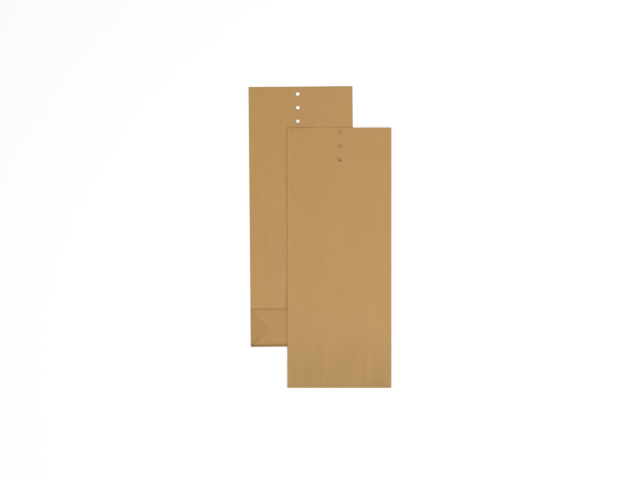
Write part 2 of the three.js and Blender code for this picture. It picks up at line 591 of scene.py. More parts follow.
@dataclass(frozen=True)
class Kraft:
    """Brown machine-made kraft paper.

    The green and blue depths say how much faster these colours fall than red where it is darker.
    """

    name: str
    marks: Marks = field(default_factory=Marks)
    colour: tuple[float, float, float] = (0.478, 0.277, 0.104)
    green_depth: float = 1.1
    blue_depth: float = 1.3
    mottle: float = 0.07
    contrasts: tuple[tuple[Grain, float], ...] = (
        (Grain.BANDS, 0.08), (Grain.STREAKS, 0.06), (Grain.LINES, 0.035), (Grain.FELT, 0.22),
        (Grain.CROSS_FIBRES, 0.132))
    hairs: tuple[tuple[Grain, float], ...] = ((Grain.HAIRS_RIGHT, 0.35), (Grain.HAIRS_LEFT, -0.5))
    pale_hairs: tuple[tuple[Grain, float], ...] = (
        (Grain.PALE_HAIRS_RIGHT, 0.1), (Grain.PALE_HAIRS_LEFT, -0.2))
    hair_range: tuple[float, float] = (0.70, 0.80)
    hair_contrast: float = 0.08
    speck_range: tuple[float, float] = (0.70, 0.78)
    speck_shade: float = 0.10
    paste: float = 0.0
    paste_range: tuple[float, float] = (0.42, 0.66)
    paste_roughness: float = 0.8
    heights: tuple[tuple[Grain, float], ...] = (
        (Grain.FELT, 0.6), (Grain.CROSS_FIBRES, 0.4), (Grain.LINES, 0.5), (Grain.STREAKS, 0.6))
    hair_height: float = 0.3
    relief: float = 0.08 * MM
    relief_strength: float = 0.5
    roughness: float = 0.82
    felt_roughness: float = 0.12
    gloss: float = 0.32

    def material(self) -> bpy.types.Material:
        """Builds the finish.

        Returns:
            The material.
        """
        made = bpy.data.materials.new(self.name)
        made.use_nodes = True
        made.node_tree.nodes.clear()
        nodes = Nodes(made.node_tree)
        place, lay = nodes.map(BLANK), nodes.map(LAY)
        across, along = nodes.axis(lay, "X"), nodes.axis(lay, "Y")
        grains = {grain: nodes.noise(place, grain) for grain, _ in self.contrasts}
        specks = nodes.noise(place, Grain.SPECKS).between(*self.speck_range)
        pasted = nodes.noise(place, Grain.PASTE).between(*self.paste_range) * self.paste
        hairs = self.fibres(nodes, place, self.hairs)
        pale_hairs = self.fibres(nodes, place, self.pale_hairs)
        light = 1.0 + (nodes.noise(place, Grain.CLOUDS) - 0.5) * self.mottle
        for grain, contrast in self.contrasts:
            light = light + (grains[grain] - 0.5) * contrast
        light = (light + (pale_hairs - hairs) * self.hair_contrast - specks * self.speck_shade
                 - pasted - self.marks.shade(nodes, across, along))
        red, blue = self.marks.tint(across, along)
        depth = nodes.vector(light + red, light.power(self.green_depth),
                             light.power(self.blue_depth) + blue)
        height = pale_hairs * self.hair_height
        for grain, tall in self.heights:
            height = height + grains[grain] * tall
        bump = nodes.add("ShaderNodeBump", {}, {"Strength": self.relief_strength,
                                                "Distance": self.relief, "Height": height})
        rough = (self.roughness + (grains[Grain.FELT] - 0.5) * self.felt_roughness
                 + pasted * self.paste_roughness)
        sockets = {"Base Color": nodes.product(depth, self.colour), "Roughness": rough,
                   "Normal": bump, "Specular IOR Level": self.gloss}
        shader = nodes.add("ShaderNodeBsdfPrincipled", {}, sockets)
        nodes.add("ShaderNodeOutputMaterial", {}, {"Surface": shader})
        return made

    def fibres(self, nodes: Nodes, place: Socket,
               kinds: Sequence[tuple[Grain, float]]) -> Socket | float:
        """Sparse long fibres.

        Args:
            nodes: the finish's tree.
            place: places on the blank.
            kinds: their patterns, and how far each leans from the blank's length in radians.

        Returns:
            1 on a fibre and 0 elsewhere.
        """
        total = 0.0
        for grain, lean in kinds:
            turned = nodes.add("ShaderNodeVectorRotate", {"rotation_type": "Z_AXIS"},
                               {"Vector": place, "Angle": lean})
            total = total + nodes.noise(turned, grain).between(*self.hair_range)
        return total


@dataclass(frozen=True)
class Relief:
    """How a sheet leaves its flat plane."""

    bulge: float = 0.0
    wave: float = 45 * MM
    crease: float = 0.0
    dent: float = 0.0
    seed: float = 0.0
    swell: float = 0.0
    mouth: float = 0.0


class GeometryTree:
    """A geometry tree with named inputs, which ends in real geometry with a finish."""

    def __init__(self, name: str, inputs: dict[str, str]) -> None:
        """Starts the tree.

        Args:
            name: its name.
            inputs: its inputs' names and kinds, besides Geometry and Finish.
        """
        tree = bpy.data.node_groups.new(name, "GeometryNodeTree")
        inputs = {"Geometry": "Geometry", **inputs, "Finish": "Material"}
        self.keys = {
            label: tree.interface.new_socket(label, in_out="INPUT",
                                             socket_type="NodeSocket" + kind).identifier
            for label, kind in inputs.items()
        }
        tree.interface.new_socket("Geometry", in_out="OUTPUT", socket_type="NodeSocketGeometry")
        self.nodes = Nodes(tree)
        source = tree.nodes.new("NodeGroupInput")
        self.value = {label: Socket(self.nodes, source.outputs[label]) for label in inputs}

    def close(self, geometry: Socket) -> None:
        """Ends the tree.

        Args:
            geometry: what it puts out, once it is made real and has its finish.
        """
        real = self.nodes.add("GeometryNodeRealizeInstances", {}, {"Geometry": geometry})
        dressed = self.nodes.add("GeometryNodeSetMaterial", {},
                                 {"Geometry": real, "Material": self.value["Finish"]})
        self.nodes.add("NodeGroupOutput", {}, {"Geometry": dressed})

    def put_on(self, piece: bpy.types.Object, values: dict) -> None:
        """Puts the tree on a piece.

        Args:
            piece: the piece's object.
            values: the values of the tree's inputs, by name.
        """
        modifier = piece.modifiers.new(self.nodes.tree.name, "NODES")
        modifier.node_group = self.nodes.tree
        for label, value in values.items():
            modifier[self.keys[label]] = value


class ReliefTree(GeometryTree):
    """A geometry tree that lifts a sheet by soft waves, mouth creases and dents over the bottom."""

    INPUTS = ("Bulge", "Wave", "Crease height", "Upper crease", "Lower crease",
              "Dent height", "Dent reach", "Seed")
    WAVE_SHAPE, WAVE_SHARE = (1.0, 0.6, 1.0), 1.2
    RIPPLE_SHAPE, RIPPLE_SHARE, RIPPLE_SIZE = (1.0, 0.35, 1.0), 0.35, 0.3
    RIPPLE_SEED = 5.0
    BREAKS = (0.40, 0.62)
    UPPER_WIDTH, LOWER_WIDTH = 0.9 * MM, 1.1 * MM

    def __init__(self) -> None:
        """Builds the tree."""
        super().__init__("paper_relief", dict.fromkeys(self.INPUTS, "Float"))
        nodes, value = self.nodes, self.value
        place = nodes.held(LAY, "FLOAT_VECTOR")
        along = nodes.axis(place, "Y")
        waves = nodes.cloud(place, self.WAVE_SHAPE, 1.0 / value["Wave"], 1.0, value["Seed"])
        ripple = nodes.cloud(place, self.RIPPLE_SHAPE, 1.0 / (value["Wave"] * self.RIPPLE_SIZE),
                             1.0, value["Seed"] + self.RIPPLE_SEED)
        broken = nodes.noise(place, Grain.RIDGE_BREAKS).between(*self.BREAKS)
        ridge = (along.bell(value["Upper crease"], self.UPPER_WIDTH)
                 + along.bell(value["Lower crease"], self.LOWER_WIDTH))
        puckers = nodes.noise(place, Grain.PUCKERS)
        half_reach = value["Dent reach"] * 0.5
        lift = (waves * value["Bulge"] * self.WAVE_SHARE
                + ripple * value["Bulge"] * self.RIPPLE_SHARE
                + ridge * broken * value["Crease height"]
                + (puckers - 0.5) * along.bell(half_reach, half_reach) * value["Dent height"])
        height = lift * nodes.held(SLACK, "FLOAT") + nodes.held(RISE, "FLOAT")
        moved = nodes.add("GeometryNodeSetPosition", {},
                          {"Geometry": value["Geometry"], "Offset": nodes.vector(0.0, 0.0, height)})
        self.close(moved)

    def apply(self, piece: bpy.types.Object, relief: Relief, creases: tuple[float, float],
              dent_reach: float, finish: bpy.types.Material) -> None:
        """Puts the tree on a piece.

        Args:
            piece: the sheet's object.
            relief: its heights.
            creases: the upper and lower mouth crease, along the envelope.
            dent_reach: how far up the dents over the bottom go.
            finish: its material.
        """
        numbers = (relief.bulge, relief.wave, relief.crease, *creases, relief.dent, dent_reach,
                   relief.seed)
        values = {label: float(number) for label, number in zip(self.INPUTS, numbers)}
        self.put_on(piece, {**values, "Finish": finish})


class PunchTree(GeometryTree):
    """A geometry tree that sets a row of round punches along the envelope."""

    CORNERS = 40

    def __init__(self) -> None:
        """Builds the tree."""
        super().__init__("clasp_punch", {"Count": "Int", "Pitch": "Float", "Diameter": "Float",
                                         "Height": "Float"})
        nodes, value = self.nodes, self.value
        step = nodes.vector(0.0, value["Pitch"] * -1.0, 0.0)
        row = nodes.add("GeometryNodeMeshLine", {}, {"Count": value["Count"], "Offset": step})
        punch = nodes.add("GeometryNodeMeshCylinder", {},
                          {"Vertices": self.CORNERS, "Radius": value["Diameter"] * 0.5,
                           "Depth": value["Height"]})
        placed = nodes.add("GeometryNodeInstanceOnPoints", {}, {"Points": row, "Instance": punch})
        self.close(placed)

    def make(self, row: ClaspRow, pitch: float, height: float, finish: bpy.types.Material,
             place: Matrix) -> bpy.types.Object:
        """Makes one row of punches.

        Args:
            row: the holes that they make.
            pitch: their distance.
            height: their length.
            finish: their material, which the walls of the cut holes keep.
            place: the matrix from the first punch's own coordinates to the frame.

        Returns:
            The punches as one plain mesh.
        """
        seed = bpy.data.objects.new("punch_seed", bpy.data.meshes.new("punch_seed"))
        bpy.context.scene.collection.objects.link(seed)
        self.put_on(seed, {"Count": row.count, "Pitch": pitch, "Diameter": row.diameter,
                           "Height": height, "Finish": finish})
        made = flattened(seed, "clasp_punches")
        made.data.transform(place)
        return made


def flattened(source: bpy.types.Object, name: str) -> bpy.types.Object:
    """Turns an object with modifiers into a plain mesh at the origin.

    Args:
        source: the object, which is removed.
        name: the new object's name.

    Returns:
        The new object.
    """
    bpy.context.view_layer.update()
    graph = bpy.context.evaluated_depsgraph_get()
    mesh = bpy.data.meshes.new_from_object(source.evaluated_get(graph), depsgraph=graph)
    mesh.name = name
    made = bpy.data.objects.new(name, mesh)
    bpy.context.scene.collection.objects.link(made)
    bpy.data.objects.remove(source)
    return made


@dataclass
class Patch:
    """A grid of points of one paper surface, with its place on the blank and its slack."""

    points: np.ndarray
    lay: np.ndarray
    blank: np.ndarray
    slack: np.ndarray
    rise: np.ndarray


def patch_mesh(name: str, patches: Sequence[Patch]) -> bpy.types.Object:
    """Makes one object of several patches.

    Args:
        name: its name.
        patches: the patches.

    Returns:
        The object, a surface with no thickness.
    """
    faces, start = [], 0
    for patch in patches:
        index = start + np.arange(patch.slack.size).reshape(patch.slack.shape)
        quads = np.stack([index[:-1, :-1], index[:-1, 1:], index[1:, 1:], index[1:, :-1]], -1)
        faces.append(quads.reshape(-1, 4))
        start += patch.slack.size
    points = np.concatenate([patch.points.reshape(-1, 3) for patch in patches])
    mesh = bpy.data.meshes.new(name)
    mesh.from_pydata(points.tolist(), [], np.concatenate(faces).tolist())
    corners = np.empty(len(mesh.loops), np.int32)
    mesh.loops.foreach_get("vertex_index", corners)
    for uv_name, grids in ((BLANK, [patch.blank for patch in patches]),
                           (LAY, [patch.lay for patch in patches])):
        pairs = np.concatenate([grid.reshape(-1, 2) for grid in grids])
        uv = pairs[corners].astype(np.float32)
        mesh.uv_layers.new(name=uv_name).data.foreach_set("uv", uv.ravel())
    for point_name, grids in ((SLACK, [patch.slack for patch in patches]),
                              (RISE, [patch.rise for patch in patches])):
        values = np.concatenate([grid.ravel() for grid in grids]).astype(np.float32)
        mesh.attributes.new(point_name, "FLOAT", "POINT").data.foreach_set("value", values)
    made = bpy.data.objects.new(name, mesh)
    bpy.context.scene.collection.objects.link(made)
    return made


@dataclass
class Stretch:
    """A length of the folded tube between two creases, whose layers move as one or fold apart."""

    word: str
    low: float
    high: float


@dataclass
class Envelope:
    """One envelope: its place, its sizes and the layers that it is folded from."""

    prefix: str
    tree: ReliefTree
    punches: PunchTree
    inner: bpy.types.Material
    face: bpy.types.Material
    pasted: bpy.types.Material
    row: ClaspRow
    cut: Cut
    mouth_ends: tuple[float, float]
    back_relief: Relief
    flap_relief: Relief
    front_relief: Relief = field(default_factory=Relief)
    slips: tuple[tuple[float, float], tuple[float, float]] = ((0.0, 0.0), (0.0, 0.0))
    stretch_words: tuple[str, ...] = ("",)
    step: float = 2.0 * MM
    fade: float = 14 * MM
    swell_sides: tuple[float, float] = (12 * MM, 36 * MM)
    swell_foot: tuple[float, float] = (2 * MM, 35 * MM)
    swell_top: tuple[float, float] = (26 * MM, 48 * MM)
    mouth_sides: tuple[float, float] = (20 * MM, 44 * MM)
    fold_radius: float = 0.2 * MM
    fold_steps: int = 8
    bend_rows: int = 14
    punch_height: float = 20 * MM
    made: list[bpy.types.Object] = field(default_factory=list)

    def __post_init__(self) -> None:
        """Reads the place and the sizes from the frame."""
        boxes = [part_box(f"{self.prefix}{word}_front_panel") for word in self.stretch_words]
        low = np.min([np.array(box[0]) for box in boxes], axis=0)
        high = np.max([np.array(box[1]) for box in boxes], axis=0)
        self.turn = self._turn()
        cos, sin = math.cos(self.turn), math.sin(self.turn)
        self.width, self.length = np.linalg.solve([[cos, sin], [sin, cos]], (high - low)[:2])
        self.centre = (low + high)[:2] / 2
        self.levels = {layer: self._level(layer) for layer in Layer}
        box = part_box(f"{self.prefix}_front_panel")
        self.paper = box[1][2] - box[0][2]
        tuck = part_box("over_bottom_left_tuck")
        self.depth = tuck[1][1] - tuck[0][1]
        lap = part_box("over_seam_lap")
        self.lap_width = lap[1][0] - lap[0][0]
        self.edge = self.width / 2
        self.edge_inset = self.inset(Layer.FRONT, Layer.GUSSET_FRONT)
        self.end_inset = self.inset(Layer.FRONT, Layer.LOWER_FLAP)
        self.sheet_edge = self.edge - self.edge_inset
        self.heel_low = self.depth / 2 + self.inset(Layer.BACK, Layer.HEEL)
        self.creases = self.row.creases(self.length)
        self.bodies = frame["record"]["behaviour"]["bodies"]
        self.joint_pairs = {frozenset((j["parent"], j["child"])) for j in frame["joints"]}
        self.stretches = self._stretches()

    def _turn(self) -> float:
        """Reads how far the envelope is turned on the table from its mouth creases.

        Returns:
            The angle in radians.
        """
        for joint in frame["joints"]:
            if joint["name"].startswith(self.prefix) and "mouth_crease" in joint["name"]:
                return math.atan2(joint["axis"][1], joint["axis"][0])
        return 0.0

    def _level(self, layer: Layer) -> float:
        """The height of a layer's middle."""
        low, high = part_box(self.node(layer))
        return (low[2] + high[2]) / 2

    def _stretches(self) -> list[Stretch]:
        """Reads the lengths of tube between the creases from their nodes.

        Returns:
            The stretches from the lower end to the mouth.
        """
        ends = []
        for word in self.stretch_words:
            low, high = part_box(f"{self.prefix}{word}_front_panel")
            tall = (high[1] - low[1]) - self.width * math.sin(abs(self.turn))
            tall /= math.cos(self.turn)
            along = self.local(low, high)[1]
            ends.append(Stretch(word, along - tall / 2, along + tall / 2))
        return ends

    def node(self, layer: Layer, side: Side = Side.LEFT, word: str = "") -> str:
        """The name of a layer's node.

        Args:
            layer: the layer.
            side: its side, where each side has its own.
            word: the stretch's part of the name.

        Returns:
            The name.
        """
        part = "_bottom" if layer is Layer.TUCK else word
        hand = f"_{side.word}" if layer.sided else ""
        return f"{self.prefix}{part}{hand}_{layer.value}"

    def body(self, node: str) -> str:
        """The body that a node belongs to."""
        return next(body for body, nodes in self.bodies.items() if node in nodes)

    def local(self, low: Vector, high: Vector) -> tuple[float, float]:
        """The place of a box's middle on the envelope.

        Args:
            low: the box's lowest corner.
            high: its highest corner.

        Returns:
            The middle's place across and along the envelope.
        """
        x, y = (np.array(low) + np.array(high))[:2] / 2 - self.centre
        cos, sin = math.cos(self.turn), math.sin(self.turn)
        return x * cos + y * sin, y * cos - x * sin + self.length / 2

    def world(self, across: np.ndarray, along: np.ndarray, height: np.ndarray) -> np.ndarray:
        """Points in the frame.

        Args:
            across: places across the envelope from its middle.
            along: places along it from its lower end.
            height: heights above the table.

        Returns:
            The points, with one more axis of three numbers.
        """
        cos, sin = math.cos(self.turn), math.sin(self.turn)
        up = along - self.length / 2
        x = self.centre[0] + across * cos - up * sin
        y = self.centre[1] + across * sin + up * cos
        return np.stack([x, y, height + 0 * across], -1)

    def place(self, across: float, along: float, height: float) -> tuple[float, float, float]:
        """The point of the frame at one place and height of the envelope."""
        point = self.world(np.array(across), np.array(along), np.array(height))
        return tuple(float(number) for number in point)

    def inset(self, layer_a: Layer, layer_b: Layer) -> float:
        """How far inside a fold's edge its two layers end."""
        half = abs(self.levels[layer_a] - self.levels[layer_b]) / 2
        return min(half, self.fold_radius) + self.paper / 2

    def blank_place(self, layer: Layer, across: np.ndarray, along: np.ndarray) -> np.ndarray:
        """Where points lie on the flat blank that the envelope is folded from.

        Args:
            layer: their layer.
            across: their places across the envelope.
            along: their places along it.

        Returns:
            Pairs of blank coordinates.
        """
        side = np.sign(across) + (across == 0)
        inward = self.edge - np.abs(across)
        if layer is Layer.GUSSET_FRONT:
            across = side * (self.edge + inward)
        elif layer is Layer.GUSSET_BACK:
            across = side * (self.edge + self.depth - inward)
        elif layer is Layer.TUCK:
            across = side * (self.edge + self.depth / 2 + inward)
        elif layer not in (Layer.FRONT, Layer.LOWER_FLAP):
            across = self.width + self.depth - across
        if layer is Layer.HEEL:
            along = self.depth - along
        elif layer is Layer.UPPER_FLAP:
            along = along - self.depth
        elif layer is Layer.LOWER_FLAP:
            along = -along
        return np.stack([across, along + 0 * across], -1)

    def quad(self, layer: Layer, corners: Sequence[tuple[float, float]], held: Held,
             relief: Relief) -> Patch:
        """A four-sided patch of paper.

        Args:
            layer: its layer, which gives its height.
            corners: low left, low right, high right and high left.
            held: the edges where it is folded. A pasted layer is held all round the bottom.
            relief: how it leaves its plane.

        Returns:
            The patch.
        """
        low_left, low_right, high_right, high_left = (np.array(corner) for corner in corners)
        wide = max(np.linalg.norm(low_right - low_left), np.linalg.norm(high_right - high_left))
        tall = max(np.linalg.norm(high_left - low_left), np.linalg.norm(high_right - low_right))
        columns = max(2, round(wide / self.step))
        rows = max(2, round(tall / self.step))
        s, t = np.meshgrid(np.linspace(0, 1, columns + 1), np.linspace(0, 1, rows + 1))
        across, along = (
            (1 - s) * (1 - t) * low_left[axis] + s * (1 - t) * low_right[axis]
            + s * t * high_right[axis] + (1 - s) * t * high_left[axis] for axis in (0, 1))
        if layer.pasted:
            gaps = [self.edge - np.abs(across), along, self.depth - along]
        else:
            gaps = [gap for edge, gap in ((Held.LEFT, s * wide), (Held.RIGHT, (1 - s) * wide),
                                          (Held.LOW, t * tall), (Held.HIGH, (1 - t) * tall))
                    if edge in held]
        slack = np.ones_like(s)
        for gap in gaps:
            slack = slack * smooth(gap, 0, self.fade)
        level = np.full_like(across, self.levels[layer])
        return self.patch(layer, across, along, level, slack, self.rise(relief, across, along))

    def rise(self, relief: Relief, across: np.ndarray, along: np.ndarray) -> np.ndarray:
        """How far a panel's middle lies above its folded edges.

        Args:
            relief: how far it swells along its body and by its mouth.
            across: places across the envelope.
            along: places along it.

        Returns:
            The heights.
        """
        inward, down = self.edge - np.abs(across), self.length - along
        body = smooth(along - self.depth, *self.swell_foot) * smooth(down, *self.swell_top)
        mouth = 1 - smooth(down, *self.mouth_ends)
        return (smooth(inward, *self.swell_sides) * relief.swell * body
                + smooth(inward, *self.mouth_sides) * relief.mouth * mouth)

    def patch(self, layer: Layer, across: np.ndarray, along: np.ndarray, height: np.ndarray,
              slack: np.ndarray | None = None, rise: np.ndarray | float = 0.0,
              blank: np.ndarray | None = None) -> Patch:
        """A grid of points with its places on the envelope and on the blank.

        Args:
            layer: the layer that it belongs to.
            across: places across the envelope.
            along: places along it.
            height: heights above the table.
            slack: how free each point is, or None for a stiff patch.
            rise: how far the points lie above their layer.
            blank: their places on the blank, or None to work them out.

        Returns:
            The patch.
        """
        if slack is None:
            slack = np.zeros_like(across)
        if blank is None:
            blank = self.blank_place(layer, across, along)
        return Patch(self.world(across, along, height), np.stack([across, along], -1), blank,
                     slack, rise + 0 * across)

    def section(self, layers: tuple[Layer, Layer], part: Part) -> np.ndarray:
        """The section of a fold, from one layer's edge round to the other's.

        Args:
            layers: the layer that it starts from and the one that it ends at.
            part: the part of it that is wanted. A half ends in the section's middle.

        Returns:
            Pairs of distance outwards from the layers' ends and height.
        """
        start, end = (self.levels[layer] for layer in layers)
        radius = min(abs(end - start) / 2, self.fold_radius)
        sign = 1 if end > start else -1
        turns = np.linspace(0, math.pi / 2, self.fold_steps // 2 + 1)
        first = np.stack([radius * np.sin(turns), start + sign * radius * (1 - np.cos(turns))], -1)
        second = np.stack([radius * np.cos(turns), end - sign * radius * (1 - np.sin(turns))], -1)
        joined = np.concatenate([first, second])
        gaps = np.linalg.norm(np.diff(joined, axis=0), axis=1)
        joined = joined[np.append(True, gaps > SAME_POINT)]
        if part is Part.WHOLE:
            return joined
        runs = np.append(0, np.cumsum(np.linalg.norm(np.diff(joined, axis=0), axis=1)))
        half = runs[-1] / 2
        middle = np.array([[np.interp(half, runs, joined[:, axis]) for axis in (0, 1)]])
        if part is Part.FIRST:
            return np.concatenate([joined[runs < half - SAME_POINT], middle])
        return np.concatenate([middle, joined[runs > half + SAME_POINT]])

    def fold(self, run: Run, layers: tuple[Layer, Layer], line: float, outward: int, low: float,
             high: float, part: Part = Part.WHOLE, rows: int = 0) -> Patch:
        """A fold, which joins two layers along a straight line.

        Args:
            run: the way that it runs.
            layers: the layer that it starts from and the one that it ends at.
            line: the place of its outermost line, square to its run.
            outward: the sign of the way that it bulges.
            low: where it starts on its run.
            high: where it ends.
            part: the part of its section that is wanted.
            rows: how many faces it has on its run, or 0 for as many as a sheet.

        Returns:
            The fold's patch.
        """
        section = self.section(layers, part)
        places = np.linspace(low, high, (rows or max(2, round((high - low) / self.step))) + 1)
        start = line - outward * self.inset(*layers)
        out = start + outward * section[:, 0]
        if run is Run.ALONG:
            along, across = np.meshgrid(places, out, indexing="ij")
            height = section[None, :, 1] + 0 * along
            blank = self.blank_place(layers[0], np.full_like(along, start), along)
        else:
            along, across = np.meshgrid(out, places, indexing="ij")
            height = section[:, None, 1] + 0 * along
            blank = self.blank_place(layers[0], across, np.full_like(along, start))
        return self.patch(layers[0], across, along, height, blank=blank)

    def hole_row(self, layer: Layer) -> bpy.types.Object:
        """The punches that cut a panel's clasp holes.

        Args:
            layer: the panel, of which the back one has slipped since it was punched.

        Returns:
            The punches.
        """
        row, last_hole = self.row, self.row.count - 1
        slips = self.slips if layer is Layer.BACK else ((0.0, 0.0), (0.0, 0.0))
        first, last = (np.array([row.shift, row.centre(number, self.length)]) + slip
                       for number, slip in zip((0, last_hole), slips))
        step = (last - first) / last_hole
        skew = math.atan2(step[0], -step[1])
        matrix = (Matrix.Translation(Vector(self.place(*first, 0)))
                  @ Matrix.Rotation(self.turn + skew, 4, "Z"))
        return self.punches.make(row, float(np.linalg.norm(step)), self.punch_height, self.inner,
                                 matrix)

    def finish(self, name: str, patches: Sequence[Patch], relief: Relief,
               material: bpy.types.Material, punched: Layer | None = None) -> bpy.types.Object:
        """Gives patches their relief, the paper's thickness and the clasp holes.

        Args:
            name: the piece's name.
            patches: its patches.
            relief: how it leaves its plane.
            material: its finish.
            punched: the panel that it is, if clasp holes go through it.

        Returns:
            The piece as a plain mesh.
        """
        source = patch_mesh(name + "_surface", patches)
        self.tree.apply(source, relief, self.creases, self.depth, material)
        wall = source.modifiers.new("paper", "SOLIDIFY")
        wall.thickness = self.paper
        wall.offset = 0
        punches = None
        if punched is not None:
            punches = self.hole_row(punched)
            cut = source.modifiers.new("holes", "BOOLEAN")
            cut.operation = "DIFFERENCE"
            cut.solver = "EXACT"
            cut.object = punches
        piece = flattened(source, name)
        if punches is not None:
            bpy.data.objects.remove(punches)
        tidy_normals(piece.data)
        self.made.append(piece)
        LOG.info("%s: %d faces", name, len(piece.data.polygons))
        return piece

    def sheet(self, layer: Layer, corners: Sequence[tuple[float, float]],
              held: Held = Held.NONE, relief: Relief = Relief(), side: Side = Side.LEFT,
              word: str = "") -> None:
        """Makes the sheet that stands for one node.

        Args:
            layer: its layer.
            corners: its corners on the envelope.
            held: its folded edges.
            relief: how it leaves its plane.
            side: its side, where each side has its own.
            word: the stretch's part of the node's name.
        """
        node = self.node(layer, side, word)
        material = self.pasted if layer.pasted else self.face if layer.punched else self.inner
        piece = self.finish(f"{node}_paper", [self.quad(layer, corners, held, relief)], relief,
                            material, layer if layer.punched else None)
        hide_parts(node)
        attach(piece, self.body(node))

    def join(self, name: str, layers: tuple[Layer, Layer], nodes: Sequence[str],
             build: Callable[[Part], Patch], parts: bool = False) -> None:
        """Makes the fold between two layers. Where a crease joins their bodies, the whole fold
        stays where it lies and belongs to neither body.

        Args:
            name: the piece's name.
            layers: the layer that it starts from and the one that it ends at.
            nodes: their nodes.
            build: makes the whole fold, or its first or second half.
            parts: whether the fold comes apart when its layers move.
        """
        first, second = (self.body(node) for node in nodes)
        if first != second and (parts or frozenset((first, second)) not in self.joint_pairs):
            for body, part in ((first, Part.FIRST), (second, Part.SECOND)):
                half = f"{name}_{part.value}_half"
                piece = self.finish(half, [build(part)], Relief(), self.inner)
                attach(piece, body)
            return
        piece = self.finish(name, [build(Part.WHOLE)], Relief(), self.inner)
        if first == second:
            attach(piece, first)
        else:
            start, end = (self.levels[layer] for layer in layers)
            x, y = self.centre
            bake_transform(piece)

    def tube(self, stretch: Stretch) -> None:
        """Makes the layers of one stretch and the folds along its sides.

        Args:
            stretch: the stretch.
        """
        word, low, back_low, high = stretch.word, stretch.low, stretch.low, stretch.high
        held = Held.SIDES
        if stretch is self.stretches[0]:
            low, back_low = low + self.end_inset, self.heel_low
            held |= Held.LOW
        edge = self.sheet_edge
        self.sheet(Layer.FRONT, rectangle(-edge, edge, low, high), held, self.front_relief,
                   word=word)
        self.sheet(Layer.BACK, rectangle(-edge, edge, back_low, high), held, self.back_relief,
                   word=word)
        lap = self.local(*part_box(self.node(Layer.LAP, word=word)))[0]
        half = self.lap_width / 2
        self.sheet(Layer.LAP, rectangle(lap - half, lap + half, back_low, high), word=word)
        for side in Side:
            strip = rectangle(*self.gusset_ends(side), low, high)
            for layer in (Layer.GUSSET_FRONT, Layer.GUSSET_BACK):
                self.sheet(layer, strip, Held.SIDES, side=side, word=word)
            for label, layers, line, outward in self.side_lines(side):
                start = back_low if layers[1] is Layer.GUSSET_BACK else low
                self.join(f"{self.prefix}{word}_{side.word}_{label}_fold", layers,
                          [self.node(layer, side, word) for layer in layers],
                          partial(self.fold, Run.ALONG, layers, line, outward, start, high))

    def gusset_ends(self, side: Side) -> tuple[float, float]:
        """Where a gusset half's sheet lies across the envelope.

        Args:
            side: the gusset's side.

        Returns:
            The sheet's left and right end.
        """
        inner = self.edge - self.depth / 2 + self.edge_inset
        left, right = sorted((side.value * self.sheet_edge, side.value * inner))
        return left, right

    def side_lines(self, side: Side) -> list[tuple[str, tuple[Layer, Layer], float, int]]:
        """The three folds on one side of the tube.

        Args:
            side: the side.

        Returns:
            For each its name, its two layers, its line and the sign that it bulges to.
        """
        sign = side.value
        crease = sign * (self.edge - self.depth / 2)
        return [
            ("front_edge", (Layer.GUSSET_FRONT, Layer.FRONT), sign * self.edge, sign),
            ("gusset_crease", (Layer.GUSSET_BACK, Layer.GUSSET_FRONT), crease, -sign),
            ("back_edge", (Layer.BACK, Layer.GUSSET_BACK), sign * self.edge, sign),
        ]

    def bottom(self) -> None:
        """Makes the heel, the tucks, the two flaps and the folds between them."""
        edge, end, flap_edge = self.edge, self.end_inset, self.edge - self.end_inset
        top = self.depth - self.inset(Layer.HEEL, Layer.UPPER_FLAP)
        self.sheet(Layer.HEEL, rectangle(-self.sheet_edge, self.sheet_edge, self.heel_low, top),
                   Held.SIDES | Held.LOW | Held.HIGH)
        for side in Side:
            self.tuck(side)
        stop, tall = self.cut.flap_stop, self.cut.flap_height
        slant = self.depth - stop
        self.sheet(Layer.UPPER_FLAP,
                   ((-edge + slant, stop), (edge - slant, stop), (flap_edge, top),
                    (-flap_edge, top)), relief=self.flap_relief)
        self.sheet(Layer.LOWER_FLAP,
                   ((-flap_edge, end), (flap_edge, end), (edge - tall, tall),
                    (-edge + tall, tall)), relief=self.flap_relief)
        runs = (
            ("heel_crease", (Layer.BACK, Layer.HEEL), self.depth / 2, -1, self.sheet_edge),
            ("flap_crease", (Layer.HEEL, Layer.UPPER_FLAP), self.depth, 1, flap_edge),
            ("lower_end", (Layer.FRONT, Layer.LOWER_FLAP), 0.0, -1, flap_edge),
        )
        for label, layers, line, outward, reach in runs:
            self.join(f"{self.prefix}_{label}_fold", layers, [self.node(layer) for layer in layers],
                      partial(self.fold, Run.ACROSS, layers, line, outward, -reach, reach))

    def tuck(self, side: Side) -> None:
        """Makes one side's tuck and its folds to the gusset and to the heel.

        Args:
            side: the side.
        """
        outer, reach = side.value * self.sheet_edge, side.value * (self.edge - self.cut.tuck_reach)
        low, high = self.end_inset, self.depth - self.end_inset
        lows = {outer: low, reach: self.cut.tuck_taper}
        highs = {outer: high, reach: self.depth - self.cut.tuck_taper}
        left, right = sorted((outer, reach))
        self.sheet(Layer.TUCK, ((left, lows[left]), (right, lows[right]), (right, highs[right]),
                                (left, highs[left])), relief=self.flap_relief, side=side)
        middle = self.depth / 2
        for label, layer, starts, end in (
                ("lower", Layer.GUSSET_BACK, (low, low), middle),
                ("upper", Layer.HEEL, (middle, self.heel_low), high)):
            self.join(f"{self.prefix}_{side.word}_{label}_tuck_fold", (Layer.TUCK, layer),
                      (self.node(Layer.TUCK, side), self.node(layer, side)),
                      partial(self.tuck_fold, side, layer, starts, end), parts=True)

